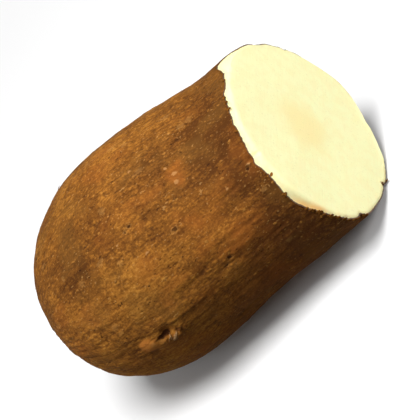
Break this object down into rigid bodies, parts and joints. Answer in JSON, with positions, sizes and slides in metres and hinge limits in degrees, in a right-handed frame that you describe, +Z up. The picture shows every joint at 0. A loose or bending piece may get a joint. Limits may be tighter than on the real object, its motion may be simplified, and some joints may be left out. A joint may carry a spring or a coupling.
{
  "type": "african yam half",
  "caption": "Half of a yam tuber with a bark-like brown skin, cut straight across to show pale flesh, lying on its side.",
  "frame": {"origin": "on the surface that the half lies on, under the middle of its bounding box", "axes": "+X along the tuber towards the knife cut, +Z up; the tuber's best side looks towards -Y and up"},
  "size_m": [0.1646, 0.1068, 0.1039],
  "materials": {
    "skin": "matt corky brown skin with fine lengthwise wrinkles",
    "flesh": "freshly cut pale cream flesh, slightly moist"
  },
  "bodies": {
    "root": {"yam_half": "skin"}
  },
  "joints": []
}
